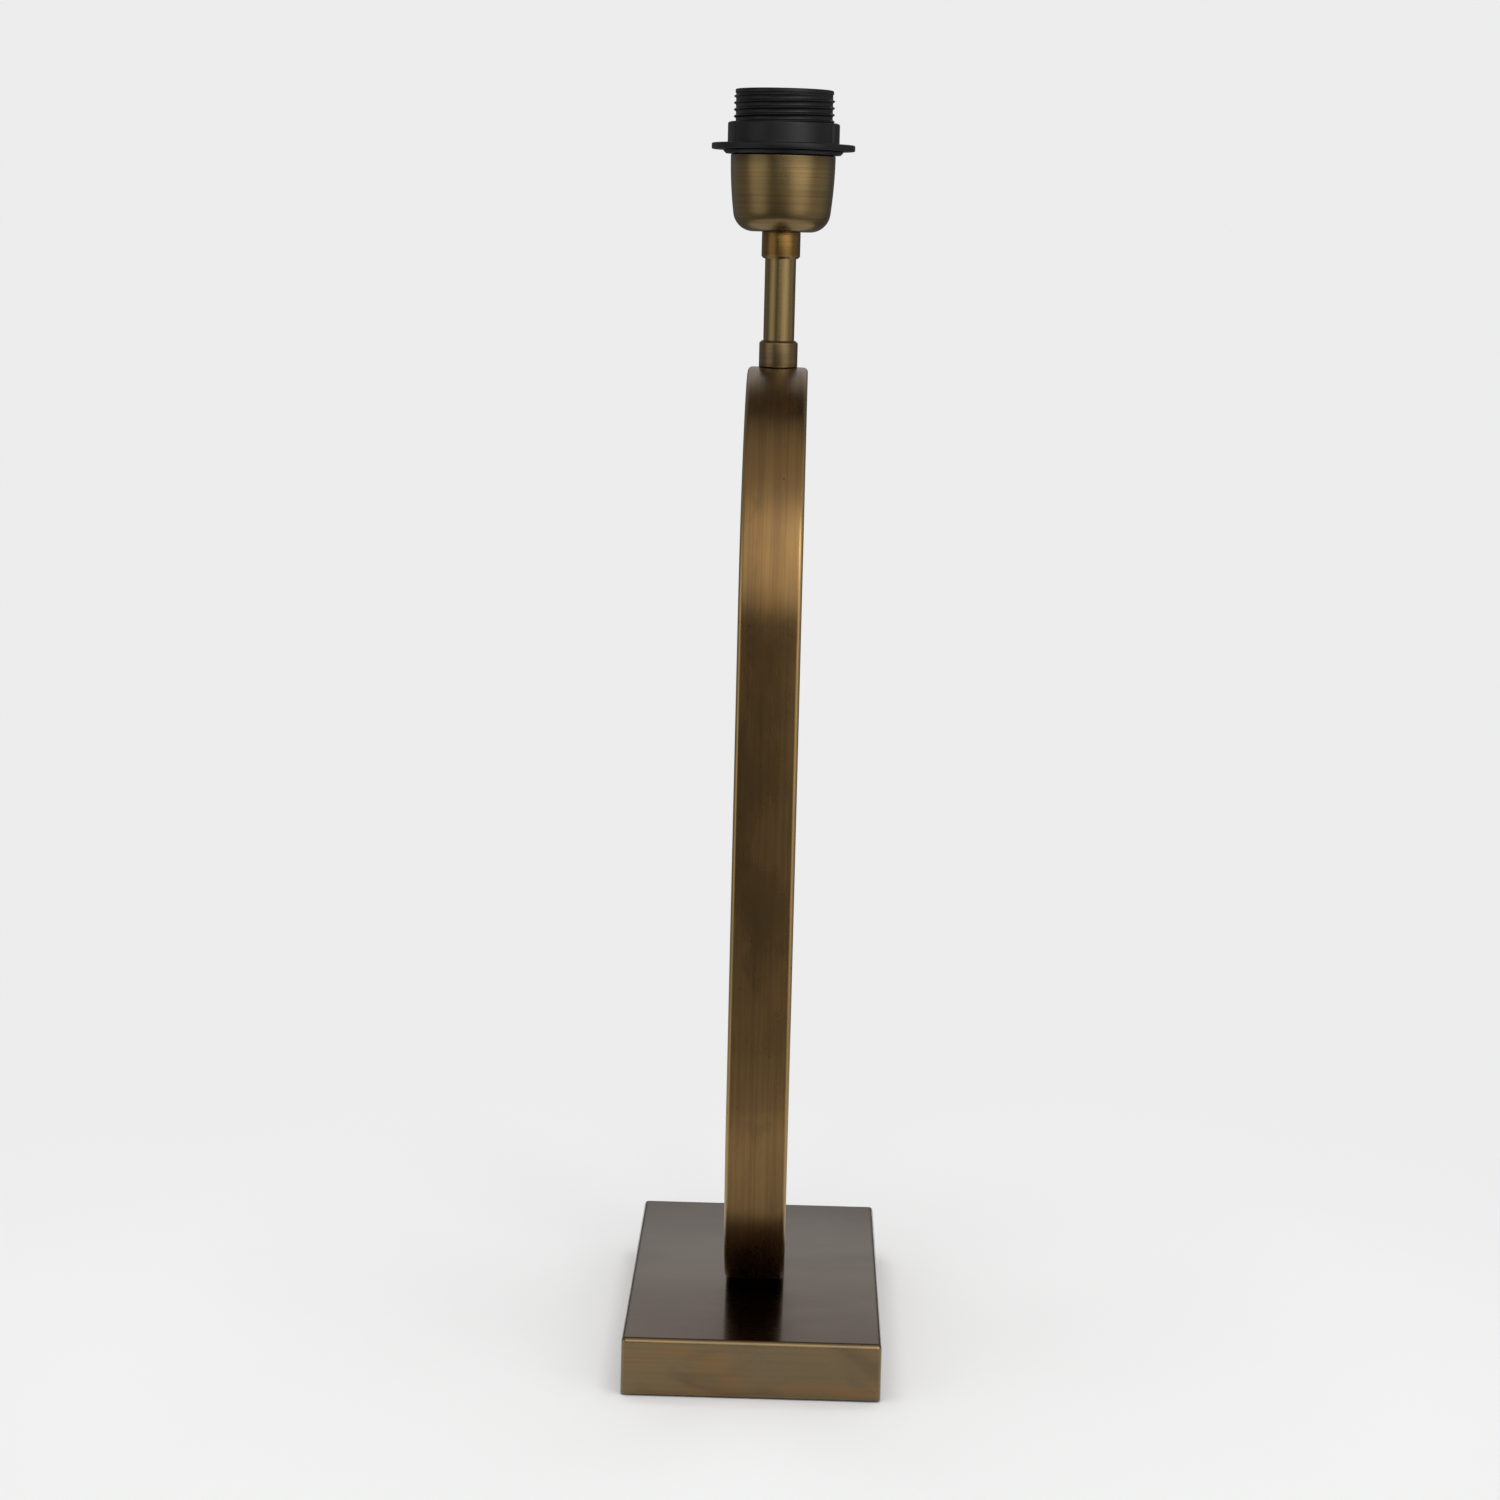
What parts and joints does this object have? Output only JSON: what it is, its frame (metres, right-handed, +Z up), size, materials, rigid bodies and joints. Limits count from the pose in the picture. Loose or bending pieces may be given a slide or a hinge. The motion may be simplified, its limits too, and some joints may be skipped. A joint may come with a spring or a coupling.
{
  "type": "table lamp foot",
  "caption": "Table lamp foot: an upright flat brass loop on a weighted block base, with a short stem, a spun cup and a screw lampholder with a shade ring.",
  "frame": {"origin": "centre of the felt's underside, on the surface that the lamp stands on", "axes": "+Z up along the stem, +X to the right across the loop's band, +Y back towards the cord gland, in the loop's plane"},
  "size_m": [0.1, 0.184, 0.499],
  "materials": {
    "antique_brass": "antique brass, dark bronzed patina with fine lengthwise brushing, satin lacquer",
    "black_plastic": "moulded black phenolic, low sheen",
    "insulator": "cream moulded insulator",
    "contact_brass": "bright stamped brass",
    "zinc_steel": "zinc plated steel",
    "cast_iron": "dark as-cast iron",
    "black_felt": "black felt",
    "black_rubber": "moulded black rubber",
    "brown_insulation": "brown wire insulation",
    "blue_insulation": "blue wire insulation"
  },
  "bodies": {
    "lamp": {"base_shell": "antique_brass", "base_weight": "cast_iron", "base_cover": "zinc_steel", "base_felt": "black_felt", "cover_screw_1": "zinc_steel", "cover_screw_2": "zinc_steel", "cover_screw_3": "zinc_steel", "cover_screw_4": "zinc_steel", "base_tube": "zinc_steel", "base_washer": "zinc_steel", "base_nut": "zinc_steel", "earth_tag": "contact_brass", "terminal_block": "insulator", "block_screw": "zinc_steel", "block_terminal_screw_1": "contact_brass", "block_terminal_screw_2": "contact_brass", "cord_gland": "black_rubber", "loop_tube": "antique_brass", "loop_foot_nut": "zinc_steel", "loop_head_nut": "zinc_steel", "lower_collar": "antique_brass", "upper_collar": "antique_brass", "stem_tube": "antique_brass", "stem_threaded_tube": "zinc_steel", "holder_cup": "antique_brass", "cup_washer": "zinc_steel", "cup_nut": "zinc_steel", "holder_cap": "black_plastic", "holder_insert": "insulator", "holder_terminal_screw_1": "contact_brass", "holder_terminal_screw_2": "contact_brass", "centre_rivet": "contact_brass", "side_rivet": "contact_brass", "holder_barrel": "black_plastic", "brown_wire": "brown_insulation", "blue_wire": "blue_insulation"},
    "shade_ring": {"shade_ring": "black_plastic"},
    "centre_contact": {"centre_contact": "contact_brass"},
    "side_contact": {"side_contact": "contact_brass"}
  },
  "joints": [
    {"name": "shade_ring_travel", "type": "slide", "parent": "lamp", "child": "shade_ring", "axis": [0, 0, 1], "range_m": [0, 0.0125]},
    {"name": "centre_contact_press", "type": "hinge", "parent": "lamp", "child": "centre_contact", "pos_m": [-0.008, 0, 0.47355], "axis": [0, 1, 0], "range_deg": [0, 4], "stiffness_Nm_per_rad": 0.05},
    {"name": "side_contact_press", "type": "hinge", "parent": "lamp", "child": "side_contact", "pos_m": [0.0112, 0, 0.47355], "axis": [0, 1, 0], "range_deg": [0, 4], "stiffness_Nm_per_rad": 0.05}
  ]
}
